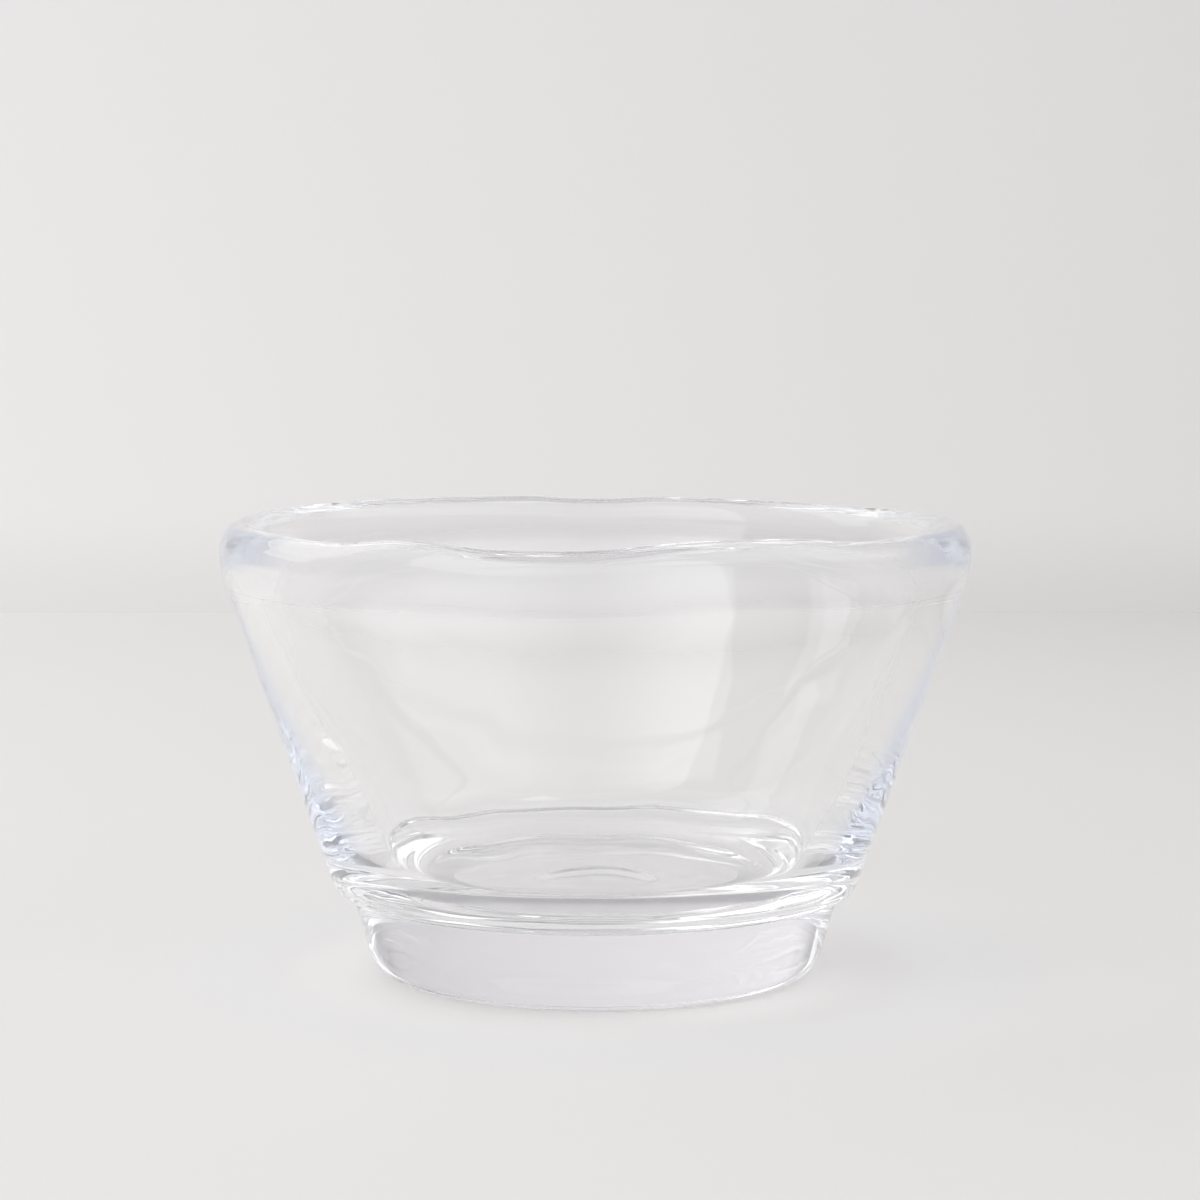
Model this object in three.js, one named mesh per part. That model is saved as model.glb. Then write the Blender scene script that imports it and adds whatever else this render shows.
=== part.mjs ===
import * as THREE from 'three';

// A heavy clear glass breakfast bowl. Lengths are millimetres, the table is at height zero
// and +Z points up. Every piece is turned about the Z axis.

// Table to the mean crest of the rim.
const bowlHeight = 84.5;

// Thick solid foot under the bowl. It narrows towards the table.
const footHeight = 15;
const footTopRadius = 46;
const footBaseRadius = 41.7;
// Rounded lower edge of the foot: how high it starts, and how far it turns in.
const footEdgeRise = 5;
const footEdgeTuck = 2.4;
// Shallow hollow in the middle of the underside. The bowl stands on the flat ring around it.
const hollowRadius = 12;
const hollowDepth = 1.2;

// Flared cup on top of the foot. Its lower edge overhangs the foot as a small ledge.
const cupBaseRadius = 48.9;
const cupEdgeRound = 1.6;
const floorThickness = 2;
const floorRadius = 22.5;
// Height of the curve between the inner floor and the inner wall.
const cornerRise = 8.5;
// Wall measured level: where the corner curve ends, and at the seam under the rim.
const wallLowThickness = 9.7;
const wallTopThickness = 7.6;
// The inner wall bows outwards: how far its curve is drawn off a straight line at half height.
const wallBow = 2.9;

// Thick rounded rim, fire polished, so its crest is not quite level.
const rimRadius = 70;
const rimWidth = 7.2;
const rimDepth = 11.5;
const rimSwell = 1;
const crestRise = 5.4;
const crestWave = 0.9;
const crestWaveTurn = 135;

// Steps of one full turn, and of each curve in a profile.
const turnSteps = 72;
const curveSteps = 6;

const rimSeamHeight = bowlHeight - rimDepth;
const wallTopRadius = rimRadius - rimSwell;
const wallFlare = (wallTopRadius - cupBaseRadius) / (rimSeamHeight - footHeight);
const innerTopRadius = wallTopRadius - wallTopThickness;

const wallRadiusAt = (height) => cupBaseRadius + wallFlare * (height - footHeight);

function turn(profile) {
  const geometry = new THREE.LatheGeometry(profile.getPoints(curveSteps), turnSteps);
  return geometry.rotateX(Math.PI / 2);
}

function footGeometry() {
  const taper = (footTopRadius - footBaseRadius) / footHeight;
  const edgeTopRadius = footBaseRadius + taper * footEdgeRise;
  const profile = new THREE.Path();
  profile.moveTo(0, hollowDepth);
  profile.quadraticCurveTo(hollowRadius / 2, hollowDepth, hollowRadius, 0);
  profile.lineTo(footBaseRadius - footEdgeTuck, 0);
  profile.quadraticCurveTo(footBaseRadius, 0, edgeTopRadius, footEdgeRise);
  profile.lineTo(footTopRadius, footHeight);
  profile.lineTo(0, footHeight);
  return turn(profile);
}

function cupGeometry() {
  const floorHeight = footHeight + floorThickness;
  const cornerTopHeight = floorHeight + cornerRise;
  const cornerTopRadius = wallRadiusAt(cornerTopHeight) - wallLowThickness;
  const bowHeight = (rimSeamHeight + cornerTopHeight) / 2;
  const bowRadius = (innerTopRadius + cornerTopRadius) / 2 + wallBow;
  const innerFlare = (bowRadius - cornerTopRadius) / (bowHeight - cornerTopHeight);
  const cornerRadius = cornerTopRadius - innerFlare * cornerRise;
  const edgeTopHeight = footHeight + cupEdgeRound;
  const profile = new THREE.Path();
  profile.moveTo(0, footHeight);
  profile.lineTo(cupBaseRadius - cupEdgeRound, footHeight);
  profile.quadraticCurveTo(cupBaseRadius, footHeight, wallRadiusAt(edgeTopHeight), edgeTopHeight);
  profile.lineTo(wallTopRadius, rimSeamHeight);
  profile.lineTo(innerTopRadius, rimSeamHeight);
  profile.quadraticCurveTo(bowRadius, bowHeight, cornerTopRadius, cornerTopHeight);
  profile.quadraticCurveTo(cornerRadius, floorHeight, floorRadius, floorHeight);
  profile.lineTo(0, floorHeight);
  return turn(profile);
}

function rimGeometry() {
  const halfWidth = rimWidth / 2;
  const crestRadius = rimRadius - halfWidth;
  const bulgeHeight = bowlHeight - crestRise;
  const flankHeight = (rimSeamHeight + bulgeHeight) / 2;
  const profile = new THREE.Path();
  profile.moveTo(wallTopRadius, rimSeamHeight);
  profile.quadraticCurveTo(rimRadius, flankHeight, rimRadius, bulgeHeight);
  profile.absellipse(crestRadius, bulgeHeight, halfWidth, crestRise, 0, Math.PI, false, 0);
  const innerRadius = crestRadius - halfWidth;
  profile.bezierCurveTo(innerRadius, flankHeight, innerTopRadius, flankHeight, innerTopRadius, rimSeamHeight);
  profile.lineTo(wallTopRadius, rimSeamHeight);
  const geometry = turn(profile);

  // The crest rises and falls twice around the bowl, and the seam stays level.
  const places = geometry.attributes.position;
  const waveTurn = THREE.MathUtils.degToRad(crestWaveTurn);
  for (let index = 0; index < places.count; index += 1) {
    const around = Math.atan2(places.getY(index), places.getX(index));
    const lift = (places.getZ(index) - rimSeamHeight) / rimDepth;
    const wave = crestWave * lift * lift * Math.cos(2 * (around - waveTurn));
    places.setZ(index, places.getZ(index) + wave);
  }
  geometry.computeVertexNormals();
  return geometry;
}

function glassPiece(name, geometry, colour) {
  const material = new THREE.MeshStandardMaterial({ color: colour, roughness: 0.03, metalness: 0 });
  material.name = 'clear_glass';
  const piece = new THREE.Mesh(geometry, material);
  piece.name = name;
  return piece;
}

const bowl = new THREE.Group();
bowl.name = 'glass_breakfast_bowl';
bowl.add(glassPiece('foot', footGeometry(), 0xdcdbe0));
bowl.add(glassPiece('cup', cupGeometry(), 0xe5e4e6));
bowl.add(glassPiece('rim', rimGeometry(), 0xd2dae4));

export default bowl;
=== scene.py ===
import math
import bpy
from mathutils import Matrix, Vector


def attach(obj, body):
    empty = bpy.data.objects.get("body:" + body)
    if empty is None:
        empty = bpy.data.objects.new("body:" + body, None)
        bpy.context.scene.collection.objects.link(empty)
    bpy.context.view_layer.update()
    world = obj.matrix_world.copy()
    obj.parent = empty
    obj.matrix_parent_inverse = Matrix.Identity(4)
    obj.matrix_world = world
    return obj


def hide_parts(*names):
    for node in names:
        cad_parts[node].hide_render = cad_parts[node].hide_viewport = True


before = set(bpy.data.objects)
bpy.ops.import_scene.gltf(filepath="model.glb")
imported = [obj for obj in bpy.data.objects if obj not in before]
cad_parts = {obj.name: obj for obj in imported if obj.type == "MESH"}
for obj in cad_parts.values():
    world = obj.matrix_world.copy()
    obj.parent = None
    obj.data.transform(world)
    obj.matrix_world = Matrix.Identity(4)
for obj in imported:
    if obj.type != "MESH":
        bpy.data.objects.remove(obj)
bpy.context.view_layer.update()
print("frame loaded")


# Small helpers for the modelling operators.

def useObject(obj):
    bpy.ops.object.select_all(action="DESELECT")
    obj.select_set(True)
    bpy.context.view_layer.objects.active = obj


def enterEdit(obj, mode="VERT"):
    useObject(obj)
    bpy.ops.object.mode_set(mode="EDIT")
    bpy.ops.mesh.select_mode(type=mode)
    bpy.ops.mesh.select_all(action="DESELECT")


def leaveEdit():
    bpy.ops.object.mode_set(mode="OBJECT")


def selectVerts(obj, test):
    bpy.ops.object.mode_set(mode="OBJECT")
    for vert in obj.data.vertices:
        vert.select = test(vert.co)
    bpy.ops.object.mode_set(mode="EDIT")


def selectFaces(obj, test):
    bpy.ops.object.mode_set(mode="OBJECT")
    for face in obj.data.polygons:
        face.select = test(face.center)
    bpy.ops.object.mode_set(mode="EDIT")


# Small helpers for shader nodes. A value is a number, or a socket to link.

def fillSocket(tree, socket, value):
    if isinstance(value, bpy.types.NodeSocket):
        tree.links.new(value, socket)
    else:
        socket.default_value = value


def mathNode(tree, operation, *values):
    node = tree.nodes.new("ShaderNodeMath")
    node.operation = operation
    for socket, value in zip(node.inputs, values):
        fillSocket(tree, socket, value)
    return node.outputs[0]


def rampNode(tree, value, begin, end, first=0.0, last=1.0, kind="SMOOTHSTEP"):
    node = tree.nodes.new("ShaderNodeMapRange")
    node.interpolation_type = kind
    for name, number in (("Value", value), ("From Min", begin), ("From Max", end),
                         ("To Min", first), ("To Max", last)):
        fillSocket(tree, node.inputs[name], number)
    return node.outputs["Result"]


def mixNode(tree, blend, share, first, second):
    node = tree.nodes.new("ShaderNodeMix")
    node.data_type = "RGBA"
    node.blend_type = blend
    for name, value in (("Factor", share), ("A", first), ("B", second)):
        fillSocket(tree, node.inputs[name], value)
    return node.outputs["Result"]


def splitNode(tree, position):
    node = tree.nodes.new("ShaderNodeSeparateXYZ")
    tree.links.new(position, node.inputs[0])
    return node.outputs["X"], node.outputs["Y"], node.outputs["Z"]


def levelNode(tree, operation, x, y):
    flat = tree.nodes.new("ShaderNodeCombineXYZ")
    tree.links.new(x, flat.inputs["X"])
    tree.links.new(y, flat.inputs["Y"])
    node = tree.nodes.new("ShaderNodeVectorMath")
    node.operation = operation
    tree.links.new(flat.outputs[0], node.inputs[0])
    return node.outputs


def newGroup(name, inputs, output, outputKind):
    group = bpy.data.node_groups.new(name, "ShaderNodeTree")
    for label, kind in inputs:
        group.interface.new_socket(label, in_out="INPUT", socket_type="NodeSocket" + kind)
    group.interface.new_socket(output, in_out="OUTPUT", socket_type="NodeSocket" + outputKind)
    return group, group.nodes.new("NodeGroupInput").outputs, group.nodes.new("NodeGroupOutput").inputs


def placeGroup(tree, group, values):
    node = tree.nodes.new("ShaderNodeGroup")
    node.node_tree = group
    for name, value in values.items():
        fillSocket(tree, node.inputs[name], value)
    return node.outputs[0]


# Strokes of a section. Each gives the points after its start.

lineEnds = {"hold": 0.0004, "mostShare": 0.3}


def curve(start, control, end, steps):
    points = []
    for step in range(1, steps + 1):
        t = step / steps
        points.append(tuple((1 - t) ** 2 * a + 2 * t * (1 - t) * b + t * t * c
                            for a, b, c in zip(start, control, end)))
    return points


def line(start, end, steps):
    # A point close to each end keeps the corner there crisp when the mesh is subdivided.
    margin = min(lineEnds["mostShare"] / steps, lineEnds["hold"] / math.dist(start, end))
    places = [margin] + [step / steps for step in range(1, steps)] + [1 - margin, 1]
    return [tuple(a + (b - a) * place for a, b in zip(start, end)) for place in places]


def arc(centre, width, rise, fromAngle, toAngle, steps):
    points = []
    for step in range(1, steps + 1):
        angle = math.radians(fromAngle + (toAngle - fromAngle) * step / steps)
        points.append((centre[0] + width * math.cos(angle), centre[1] + rise * math.sin(angle)))
    return points


# The glass body: one section drawn from the underside to the inner floor, then spun. Lengths are
# metres. Radii count from the bowl's axis and heights from the table, and a pair is (radius, height).

body = {
    "footRadius": 0.0417, "footTop": 0.046, "footHeight": 0.015, "footEdge": 0.0050, "footTuck": 0.0024,
    "ringInner": 0.0120, "hollow": 0.0012, "hollowBend": 0.6,
    "cupRadius": 0.0489, "cupEdge": 0.0018,
    "wallTop": 0.069, "rimSeam": 0.073, "height": 0.0845,
    "rimRadius": 0.070, "rimHalf": 0.0036, "crestRise": 0.0054,
    "innerBend": (0.0575, 0.0552), "cornerTop": (0.0428, 0.0255), "cornerRise": 0.0085,
    "floorRadius": 0.0225,
    "steps": {"hollow": 6, "ring": 2, "footEdge": 6, "footSide": 5, "ledge": 2, "cupEdge": 4, "wall": 8,
              "flank": 4, "crest": 12, "innerWall": 12, "corner": 9, "floor": 3},
    "startSize": 0.002, "spinSteps": 96, "mergeReach": 0.00001, "smoothLevels": 2,
}


def sectionPoints():
    b, steps = body, body["steps"]
    bulge = b["height"] - b["crestRise"]
    crest = b["rimRadius"] - b["rimHalf"]
    flare = (b["wallTop"] - b["cupRadius"]) / (b["rimSeam"] - b["footHeight"])
    taper = (b["footTop"] - b["footRadius"]) / b["footHeight"]
    points = [(0.0, b["hollow"])]

    # Foot, from its hollow to the ledge.
    hollowControl = (b["ringInner"] * b["hollowBend"], b["hollow"])
    points += curve(points[-1], hollowControl, (b["ringInner"], 0.0), steps["hollow"])
    points += line(points[-1], (b["footRadius"] - b["footTuck"], 0.0), steps["ring"])
    edgeTop = (b["footRadius"] + taper * b["footEdge"], b["footEdge"])
    points += curve(points[-1], (b["footRadius"], 0.0), edgeTop, steps["footEdge"])
    points += line(points[-1], (b["footTop"], b["footHeight"]), steps["footSide"])
    points += line(points[-1], (b["cupRadius"] - b["cupEdge"], b["footHeight"]), steps["ledge"])

    # Outer wall and rim.
    edgeTop = (b["cupRadius"] + flare * b["cupEdge"], b["footHeight"] + b["cupEdge"])
    points += curve(points[-1], (b["cupRadius"], b["footHeight"]), edgeTop, steps["cupEdge"])
    points += line(points[-1], (b["wallTop"], b["rimSeam"]), steps["wall"])
    flankControl = (b["rimRadius"], (b["rimSeam"] + bulge) / 2)
    points += curve(points[-1], flankControl, (b["rimRadius"], bulge), steps["flank"])
    points += arc((crest, bulge), b["rimHalf"], b["crestRise"], 0, 180, steps["crest"])

    # Inner wall, corner and floor.
    bend, cornerTop = b["innerBend"], b["cornerTop"]
    innerFlare = (bend[0] - cornerTop[0]) / (bend[1] - cornerTop[1])
    floorHeight = cornerTop[1] - b["cornerRise"]
    corner = (cornerTop[0] - innerFlare * b["cornerRise"], floorHeight)
    points += curve(points[-1], bend, cornerTop, steps["innerWall"])
    points += curve(points[-1], corner, (b["floorRadius"], floorHeight), steps["corner"])
    points += line(points[-1], (0.0, floorHeight), steps["floor"])
    return points


def spinSection(points):
    bpy.ops.object.select_all(action="DESELECT")
    bpy.ops.mesh.primitive_plane_add(size=body["startSize"], location=(0, 0, 0))
    obj = bpy.context.object
    obj.name = "bowlGlass"
    enterEdit(obj)
    bpy.ops.mesh.select_all(action="SELECT")
    bpy.ops.mesh.merge(type="CENTER")
    bpy.ops.transform.translate(value=(points[0][0], 0, points[0][1]))
    for before, after in zip(points, points[1:]):
        step = (after[0] - before[0], 0, after[1] - before[1])
        bpy.ops.mesh.extrude_region_move(TRANSFORM_OT_translate={"value": step})
    bpy.ops.mesh.select_all(action="SELECT")
    bpy.ops.mesh.spin(steps=body["spinSteps"], angle=math.tau, center=(0, 0, 0), axis=(0, 0, 1))
    bpy.ops.mesh.select_all(action="SELECT")
    bpy.ops.mesh.remove_doubles(threshold=body["mergeReach"])
    bpy.ops.mesh.normals_make_consistent(inside=False)
    leaveEdit()
    bpy.ops.object.modifier_add(type="SUBSURF")
    smooth = obj.modifiers[-1]
    smooth.levels = smooth.render_levels = body["smoothLevels"]
    bpy.ops.object.modifier_apply(modifier=smooth.name)
    return obj


bowlGlass = spinSection(sectionPoints())
print("glass body spun:", len(bowlGlass.data.polygons), "faces")


# Each zone gets a slot of its own, so that the body can be parted at the seams later.

def plainMaterial(name):
    material = bpy.data.materials.new(name)
    material.use_nodes = True
    return material


cupGlass = plainMaterial("cupGlass")
rimGlass = plainMaterial("rimGlass")
footGlass = plainMaterial("footGlass")
fusedSeam = plainMaterial("fusedSeam")

for material in (cupGlass, rimGlass, footGlass):
    bowlGlass.data.materials.append(material)

seams = {"margin": 0.0004, "gap": 0.00003, "betweenSeams": 0.05, "smoothAngle": 35}


def assignZone(index, test):
    enterEdit(bowlGlass, "FACE")
    selectFaces(bowlGlass, test)
    bowlGlass.active_material_index = index
    bpy.ops.object.material_slot_assign()
    leaveEdit()


def inFoot(centre):
    # Below the ledge, and inside a slanting line through the corner where foot and ledge meet.
    low = centre.z < body["footHeight"] + seams["margin"]
    return low and math.hypot(centre.x, centre.y) + centre.z < body["footTop"] + body["footHeight"]


assignZone(1, lambda centre: centre.z > body["rimSeam"])
assignZone(2, inFoot)
print("zones marked")


# The hand-made rim: each pull lifts or lowers a stretch of the crest. Angles run from +X towards +Y.

rimShape = {
    "pickRadius": 0.004,
    "pulls": [
        {"angle": 135, "rise": 0.0005, "reach": 0.050},
        {"angle": 45, "rise": -0.0004, "reach": 0.040},
        {"angle": 291, "rise": 0.0011, "reach": 0.024},
        {"angle": 262, "rise": -0.0005, "reach": 0.022},
        {"angle": 241, "rise": 0.0007, "reach": 0.013},
        {"angle": 226, "rise": -0.0004, "reach": 0.016},
        {"angle": 318, "rise": -0.0004, "reach": 0.016},
        {"angle": 90, "rise": -0.0005, "reach": 0.011},
    ],
}


def pullRim(obj, pull):
    angle = math.radians(pull["angle"])
    radius = body["rimRadius"] - body["rimHalf"]
    top = max(vert.co.z for vert in obj.data.vertices)
    spot = Vector((radius * math.cos(angle), radius * math.sin(angle), top))
    enterEdit(obj)
    selectVerts(obj, lambda place: (place - spot).length < rimShape["pickRadius"])
    bpy.ops.transform.translate(value=(0, 0, pull["rise"]), use_proportional_edit=True,
                                proportional_edit_falloff="SMOOTH", proportional_size=pull["reach"])
    leaveEdit()


for pull in rimShape["pulls"]:
    pullRim(bowlGlass, pull)
print("rim shaped")


# The body is parted at its seams, and each part is closed there again.

def partByZone(obj):
    useObject(obj)
    bpy.ops.object.mode_set(mode="EDIT")
    bpy.ops.mesh.separate(type="MATERIAL")
    bpy.ops.object.mode_set(mode="OBJECT")
    parts = {}
    for part in list(bpy.context.selected_objects):
        slotIndex = part.data.polygons[0].material_index
        parts[part.data.materials[slotIndex].name] = part
    return parts


def selectOpenEdges(obj, test):
    enterEdit(obj, "EDGE")
    bpy.ops.mesh.select_non_manifold(extend=False, use_wire=False, use_boundary=True, use_multi_face=False,
                                     use_non_contiguous=False, use_verts=False)
    bpy.ops.object.mode_set(mode="OBJECT")
    verts = obj.data.vertices
    for edge in obj.data.edges:
        if edge.select and not test(verts[edge.vertices[0]].co):
            edge.select = False
    for vert in verts:
        vert.select = False
    for edge in obj.data.edges:
        if edge.select:
            verts[edge.vertices[0]].select = True
            verts[edge.vertices[1]].select = True
    bpy.ops.object.mode_set(mode="EDIT")


def closeSeam(obj, test, ring, shift=0.0):
    # The shift keeps two seam faces a hair apart, because light is caught between faces in one place.
    selectOpenEdges(obj, test)
    bpy.ops.transform.translate(value=(0, 0, shift))
    if ring:
        bpy.ops.mesh.bridge_edge_loops()  # between the inner and the outer edge
    else:
        bpy.ops.mesh.edge_face_add()  # one round face
    obj.active_material_index = 1
    bpy.ops.object.material_slot_assign()
    leaveEdit()


def finishPart(obj, name, material):
    obj.name = name
    obj.data.name = name
    obj.data.materials.clear()
    obj.data.materials.append(material)
    obj.data.materials.append(fusedSeam)
    for face in obj.data.polygons:
        face.material_index = 0


def atRimSeam(place):
    return place.z > seams["betweenSeams"]


def atFootSeam(place):
    return place.z < seams["betweenSeams"]


parts = partByZone(bowlGlass)
cup, rim, foot = parts["cupGlass"], parts["rimGlass"], parts["footGlass"]
finishPart(cup, "cupShell", cupGlass)
finishPart(rim, "rolledRim", rimGlass)
finishPart(foot, "solidFoot", footGlass)
closeSeam(rim, atRimSeam, ring=True, shift=seams["gap"])
closeSeam(cup, atRimSeam, ring=True)
closeSeam(cup, atFootSeam, ring=False)
closeSeam(foot, atFootSeam, ring=False, shift=-seams["gap"])
for obj in (cup, rim, foot):
    enterEdit(obj)
    bpy.ops.mesh.select_all(action="SELECT")
    bpy.ops.mesh.normals_make_consistent(inside=False)
    leaveEdit()
    bpy.ops.object.shade_smooth_by_angle(angle=math.radians(seams["smoothAngle"]))
print("parts closed:", [(obj.name, len(obj.data.polygons)) for obj in (cup, rim, foot)])


# Glass: clear, with a painted blue reflection on the cup and rim, and painted dark shade on the foot,
# where it is seen edge on.

glass = {
    "ior": 1.5, "roughness": 0.0, "flare": 0.3466, "fade": 0.008,
    "waveScale": 45.0, "waveDetail": 1.0, "waveDepth": 0.0004,
}

# The painted edge colour (blue painted reflection, dark painted shade on the foot) goes only on the
# outside of the glass, past a radius that starts at "wall" and grows with the flare. "low" and "high" are
# heights, each with how far the glass turns away where the painted colour starts there. "soft" is how
# slowly it comes, and it fades in above the height "base".
edges = {
    "cupGlass": {
        "clear": (1.0, 1.0, 1.0, 1), "edgePaint": (0.70, 0.79, 1.0, 1), "wall": 0.0407,
        "low": (0.030, 0.38), "high": (0.073, 0.74), "soft": 0.20, "base": 0.019,
    },
    "rimGlass": {
        "clear": (0.99, 0.99, 1.0, 1), "edgePaint": (0.68, 0.77, 0.95, 1), "wall": 0.0385,
        "low": (0.0750, 0.90), "high": (0.0795, 0.36), "soft": 0.30, "base": 0.06,
    },
    "footGlass": {
        "clear": (0.970, 0.965, 1.0, 1), "edgePaint": (0.50, 0.50, 0.53, 1), "wall": 0.030,
        "low": (0.0, 0.66), "high": (0.015, 0.60), "soft": 0.25, "base": -0.02,
    },
}


def buildPaintedEdgeLight():
    # Paints a reflection or shade into the glass colour where the glass is seen edge on.
    group, given, result = newGroup("paintedEdgeLight", (
        ("Facing", "Float"), ("Position", "Vector"), ("Wall Foot", "Float"), ("Wall Flare", "Float"),
        ("Low Height", "Float"), ("Low Start", "Float"), ("High Height", "Float"), ("High Start", "Float"),
        ("Soft", "Float"), ("Base Height", "Float"), ("Base Fade", "Float"),
        ("Clear", "Color"), ("Tint", "Color")), "Colour", "Color")
    x, y, z = splitNode(group, given["Position"])
    radius = levelNode(group, "LENGTH", x, y)["Value"]
    middle = mathNode(group, "MULTIPLY_ADD", z, given["Wall Flare"], given["Wall Foot"])
    outside = mathNode(group, "GREATER_THAN", radius, middle)
    begin = rampNode(group, z, given["Low Height"], given["High Height"],
                     given["Low Start"], given["High Start"], "LINEAR")
    end = mathNode(group, "ADD", begin, given["Soft"])
    amount = mathNode(group, "MULTIPLY", rampNode(group, given["Facing"], begin, end), outside)
    above = mathNode(group, "SUBTRACT", z, given["Base Height"])
    amount = mathNode(group, "MULTIPLY", amount,
                      rampNode(group, above, 0.0, given["Base Fade"], kind="LINEAR"))
    fillSocket(group, result["Colour"], mixNode(group, "MIX", amount, given["Clear"], given["Tint"]))
    return group


def buildFireWaves():
    # Fire polishing leaves the surface faintly uneven, so that reflections in it waver.
    group, given, result = newGroup("fireWaves", (
        ("Position", "Vector"), ("Scale", "Float"), ("Detail", "Float"), ("Depth", "Float")),
        "Normal", "Vector")
    noise = group.nodes.new("ShaderNodeTexNoise")
    for socket, name in (("Vector", "Position"), ("Scale", "Scale"), ("Detail", "Detail")):
        fillSocket(group, noise.inputs[socket], given[name])
    bump = group.nodes.new("ShaderNodeBump")
    fillSocket(group, bump.inputs["Height"], noise.outputs["Fac"])
    fillSocket(group, bump.inputs["Distance"], given["Depth"])
    fillSocket(group, result["Normal"], bump.outputs["Normal"])
    return group


paintedEdgeLight = buildPaintedEdgeLight()
fireWaves = buildFireWaves()


def setGlass(material, edge):
    tree = material.node_tree
    shader = tree.nodes["Principled BSDF"].inputs
    shader["Base Color"].default_value = edge["clear"]
    shader["Roughness"].default_value = glass["roughness"]
    shader["IOR"].default_value = glass["ior"]
    shader["Transmission Weight"].default_value = 1.0
    shader["Metallic"].default_value = 0.0
    position = tree.nodes.new("ShaderNodeTexCoord").outputs["Object"]

    # How far the upright wall turns away from the viewer, whatever the small curves on it.
    x, y = splitNode(tree, position)[:2]
    weight = tree.nodes.new("ShaderNodeLayerWeight")
    fillSocket(tree, weight.inputs["Normal"], levelNode(tree, "NORMALIZE", x, y)["Vector"])
    # Painted reflection, or painted shade on the foot, where the wall is seen edge on.
    colour = placeGroup(tree, paintedEdgeLight, {
        "Facing": weight.outputs["Facing"], "Position": position,
        "Wall Foot": edge["wall"], "Wall Flare": glass["flare"],
        "Low Height": edge["low"][0], "Low Start": edge["low"][1],
        "High Height": edge["high"][0], "High Start": edge["high"][1],
        "Soft": edge["soft"], "Base Height": edge["base"], "Base Fade": glass["fade"],
        "Clear": edge["clear"], "Tint": edge["edgePaint"]})
    fillSocket(tree, shader["Base Color"], colour)
    normal = placeGroup(tree, fireWaves, {
        "Position": position, "Scale": glass["waveScale"],
        "Detail": glass["waveDetail"], "Depth": glass["waveDepth"]})
    fillSocket(tree, shader["Normal"], normal)


for material in (cupGlass, rimGlass, footGlass):
    setGlass(material, edges[material.name])

# The seam faces bend no light, so the three parts look like one piece of glass.
seamShader = fusedSeam.node_tree.nodes["Principled BSDF"].inputs
seamShader["Base Color"].default_value = (1, 1, 1, 1)
seamShader["Roughness"].default_value = 0.0
seamShader["IOR"].default_value = 1.0
seamShader["Transmission Weight"].default_value = 1.0

for obj, node in ((cup, "cup"), (rim, "rim"), (foot, "foot")):
    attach(obj, "root")
    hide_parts(node)
print("glass dressed")


# Stage: floor and back wall. They glow with painted light of their own. Painted shade makes the glow less
# to the right, in their corner and at the foot of the wall, a painted contact shadow makes it less under
# the bowl, and it fades far to the front and the sides.

stage = {
    "footGap": 0.0002, "wallDistance": 0.657, "wallHeight": 0.60, "wallDrop": 0.01,
    "halfWidth": 2.5, "wallHalf": 1.2, "frontDepth": 2.5,
    "albedo": 0.55, "roughness": 0.8, "specular": 0.1,
    # Painted shade in the corner grows from "creaseFrom" to the wall, and at the wall's foot below
    # "lowFrom".
    "creaseFrom": 0.36, "lowFrom": 0.045,
    "sideFade": (0.55, 1.10), "frontFade": (-0.22, -0.60), "faded": 0.12,
    # Painted contact shadow: within "shadeReach" of the bowl's axis the glow falls to the share "shade".
    "shadeReach": (0.036, 0.047), "shade": 0.80,
}
# Painted glow of floor and wall: "side", "away", "crease" and "low" are painted shade to the right,
# towards the wall, in the corner and at the wall's foot.
floorGlow = {
    "tone": (1.0, 0.985, 0.97, 1),
    "level": 0.310, "side": -0.22, "away": -0.06, "crease": -0.02, "low": 0.0,
}
wallGlow = {
    "tone": (1.0, 0.985, 0.98, 1),
    "level": 0.354, "side": -0.18, "away": 0.0, "crease": 0.0, "low": -0.065,
}


def buildStageGlow():
    group, given, result = newGroup("stageGlow", (
        ("Position", "Vector"), ("Tone", "Color"), ("Level", "Float"), ("Side", "Float"),
        ("Away", "Float"), ("Crease", "Float"), ("Low", "Float")), "Glow", "Color")
    x, y, z = splitNode(group, given["Position"])
    # Painted shade: the glow changes to the side ("Side") and towards the wall ("Away").
    light = mathNode(group, "MULTIPLY_ADD", x, given["Side"], given["Level"])
    light = mathNode(group, "MULTIPLY_ADD", y, given["Away"], light)
    # Painted shade in the corner where the floor meets the wall.
    crease = rampNode(group, y, stage["creaseFrom"], stage["wallDistance"], 0.0, given["Crease"])
    light = mathNode(group, "ADD", light, crease)
    # Painted shade at the foot of the wall.
    light = mathNode(group, "ADD", light, rampNode(group, z, stage["lowFrom"], 0.0, 0.0, given["Low"]))
    # The glow fades far to the sides and the front, and a painted contact shadow lowers it under the bowl.
    beside = mathNode(group, "ABSOLUTE", x)
    around = levelNode(group, "LENGTH", x, y)["Value"]
    for share in (rampNode(group, beside, *stage["sideFade"], 1.0, stage["faded"]),
                  rampNode(group, y, *stage["frontFade"], 1.0, stage["faded"]),
                  rampNode(group, around, *stage["shadeReach"], stage["shade"], 1.0)):
        light = mathNode(group, "MULTIPLY", light, share)
    scale = group.nodes.new("ShaderNodeVectorMath")
    scale.operation = "SCALE"
    fillSocket(group, scale.inputs[0], given["Tone"])
    fillSocket(group, scale.inputs["Scale"], light)
    fillSocket(group, result["Glow"], scale.outputs["Vector"])
    return group


stageGlow = buildStageGlow()


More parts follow.
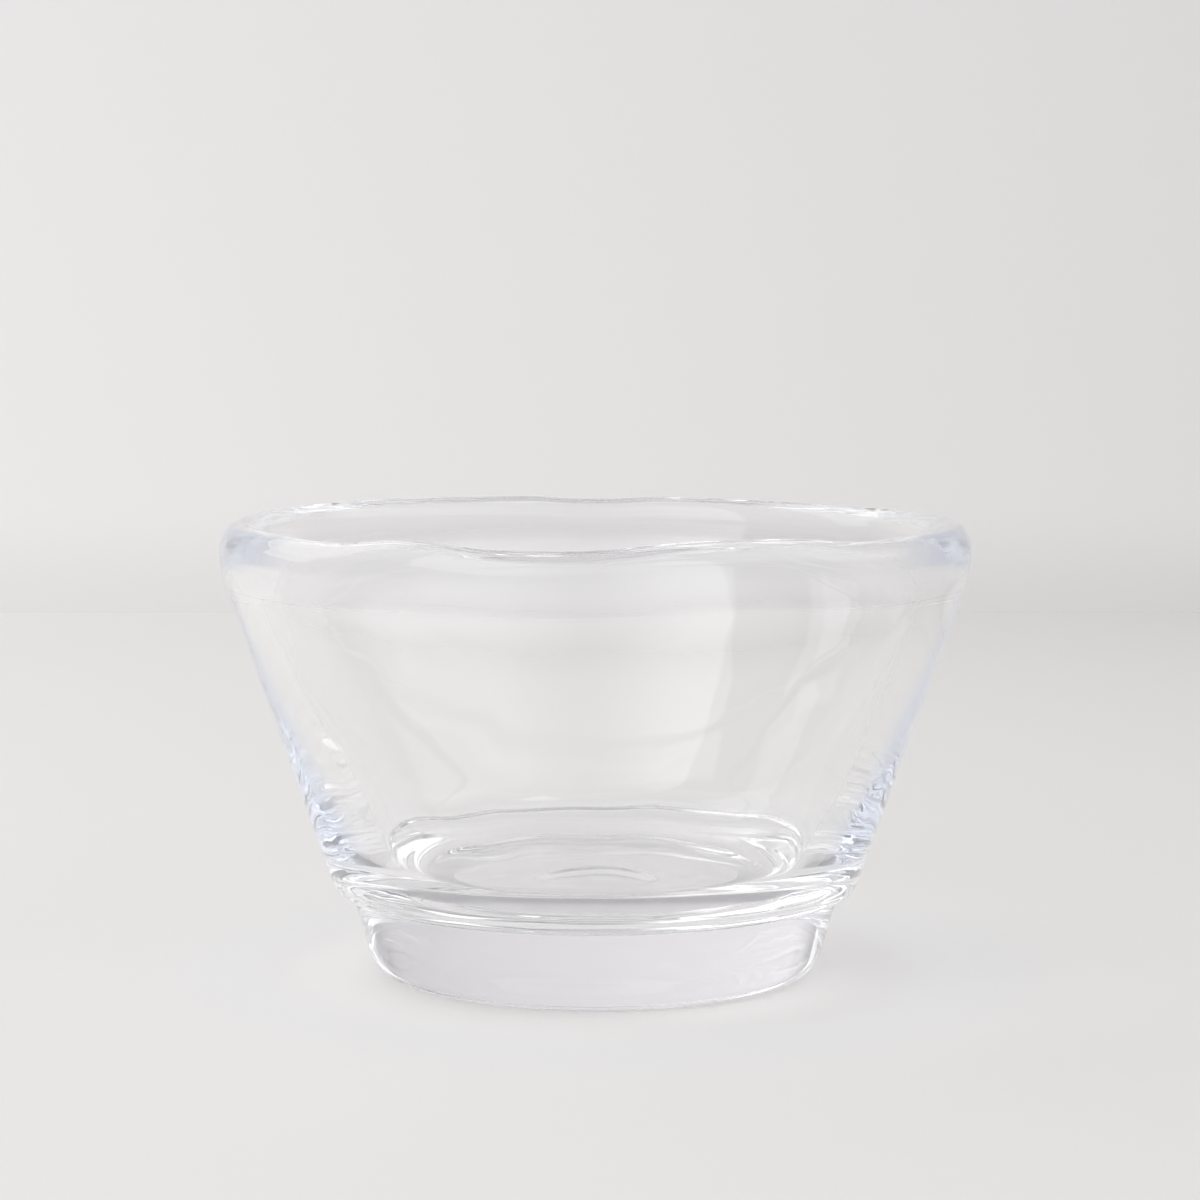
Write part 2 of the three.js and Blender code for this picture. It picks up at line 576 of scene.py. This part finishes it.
def paintStage(obj, glow):
    material = plainMaterial(obj.name)
    tree = material.node_tree
    shader = tree.nodes["Principled BSDF"].inputs
    shader["Base Color"].default_value = (*(stage["albedo"] * part for part in glow["tone"][:3]), 1)
    shader["Roughness"].default_value = stage["roughness"]
    shader["Specular IOR Level"].default_value = stage["specular"]
    shader["Emission Strength"].default_value = 1.0
    # The painted glow: floor and wall give off light though they are no lamps.
    colour = placeGroup(tree, stageGlow, {
        "Position": tree.nodes.new("ShaderNodeTexCoord").outputs["Object"], "Tone": glow["tone"],
        "Level": glow["level"], "Side": glow["side"], "Away": glow["away"],
        "Crease": glow["crease"], "Low": glow["low"]})
    fillSocket(tree, shader["Emission Color"], colour)
    obj.data.materials.append(material)


def addSheet(name, halfWidth, halfDepth, turn, place):
    bpy.ops.object.select_all(action="DESELECT")
    bpy.ops.mesh.primitive_plane_add(size=2, location=(0, 0, 0))  # so the scale gives half sizes
    sheet = bpy.context.object
    sheet.name = name
    sheet.scale = (halfWidth, halfDepth, 1)
    sheet.rotation_euler.x = turn
    sheet.location = place
    bpy.ops.object.transform_apply(location=True, rotation=True, scale=True)
    return sheet


floor = addSheet("studioFloor", stage["halfWidth"], (stage["frontDepth"] + stage["wallDistance"]) / 2,
                 0, (0, (stage["wallDistance"] - stage["frontDepth"]) / 2, -stage["footGap"]))
wall = addSheet("studioWall", stage["wallHalf"], stage["wallHeight"] / 2,
                math.pi / 2, (0, stage["wallDistance"], stage["wallHeight"] / 2 - stage["wallDrop"]))
paintStage(floor, floorGlow)
paintStage(wall, wallGlow)


# Camera at the photograph's viewing angle.

view = {"distance": 0.597, "height": 0.128, "down": 0.0980, "right": 0.0014, "lens": 96.0, "sensor": 36}

bpy.ops.object.camera_add(location=(0, -view["distance"], view["height"]))
camera = bpy.context.object
camera.rotation_euler = (math.pi / 2 - view["down"], 0, -view["right"])
camera.data.lens = view["lens"]
camera.data.sensor_width = view["sensor"]
bpy.context.scene.camera = camera


# The studio sky. Azimuth runs from the viewer (-Y) towards the viewer's left, in degrees. Each panel
# adds its light to the base, and "soft" is half the width of its left-hand and right-hand borders.

sky = {
    "base": (0.32, 0.32, 0.33, 1), "softBelow": 2, "softAbove": 6,
    "panels": [
        {"azimuth": (-360, 360), "height": (58, 100), "soft": (1, 1), "colour": (0.2, 0.2, 0.2, 1)},
        {"azimuth": (-115, 165), "height": (22, 58), "soft": (10, 10), "colour": (0.4, 0.4, 0.4, 1)},
        {"azimuth": (22, 57), "height": (14, 58), "soft": (30, 1.2), "colour": (1.45, 1.45, 1.43, 1)},
        {"azimuth": (57, 97), "height": (14, 58), "soft": (1.2, 2), "colour": (-0.25, -0.25, -0.25, 1)},
        {"azimuth": (97, 165), "height": (12, 58), "soft": (2, 10), "colour": (1.0, 1.0, 1.0, 1)},
        {"azimuth": (-78, -52), "height": (66, 74), "soft": (3, 3), "colour": (2.2, 2.2, 2.2, 1)},
        {"azimuth": (-110, -30), "height": (18, 46), "soft": (15, 22), "colour": (0.6, 0.6, 0.6, 1)},
    ],
}


def buildSky():
    world = bpy.context.scene.world or bpy.data.worlds.new("studioSky")
    bpy.context.scene.world = world
    world.use_nodes = True
    tree = world.node_tree
    tree.nodes.clear()
    output = tree.nodes.new("ShaderNodeOutputWorld")
    back = tree.nodes.new("ShaderNodeBackground")
    x, y, z = splitNode(tree, tree.nodes.new("ShaderNodeTexCoord").outputs["Generated"])
    left = mathNode(tree, "MULTIPLY", x, -1.0)
    front = mathNode(tree, "MULTIPLY", y, -1.0)
    degree = math.degrees(1)
    azimuth = mathNode(tree, "MULTIPLY", mathNode(tree, "ARCTAN2", left, front), degree)
    height = mathNode(tree, "MULTIPLY", mathNode(tree, "ARCSINE", z), degree)
    below, above = sky["softBelow"], sky["softAbove"]
    total = sky["base"]
    for panel in sky["panels"]:
        low, high = panel["azimuth"]
        bottom, top = panel["height"]
        near, far = panel["soft"]
        mask = mathNode(tree, "MULTIPLY", rampNode(tree, azimuth, low - near, low + near),
                        rampNode(tree, azimuth, high + far, high - far))
        mask = mathNode(tree, "MULTIPLY", mask, rampNode(tree, height, bottom - below, bottom + below))
        mask = mathNode(tree, "MULTIPLY", mask, rampNode(tree, height, top + above, top - above))
        total = mixNode(tree, "ADD", mask, total, panel["colour"])
    fillSocket(tree, back.inputs["Color"], total)
    fillSocket(tree, output.inputs["Surface"], back.outputs[0])


buildSky()

# Light crosses many faces of glass, so its paths may be long.
lightPaths = {"bounces": 1024, "diffuse": 8, "clamp": 20.0}

scene = bpy.context.scene
scene.view_settings.view_transform = "Standard"
scene.view_settings.look = "None"
scene.view_settings.exposure = 0.0
scene.cycles.max_bounces = lightPaths["bounces"]
scene.cycles.transmission_bounces = lightPaths["bounces"]
scene.cycles.glossy_bounces = lightPaths["bounces"]
scene.cycles.diffuse_bounces = lightPaths["diffuse"]
scene.cycles.blur_glossy = 0.0
scene.cycles.sample_clamp_indirect = lightPaths["clamp"]
print("stage, camera and light ready")
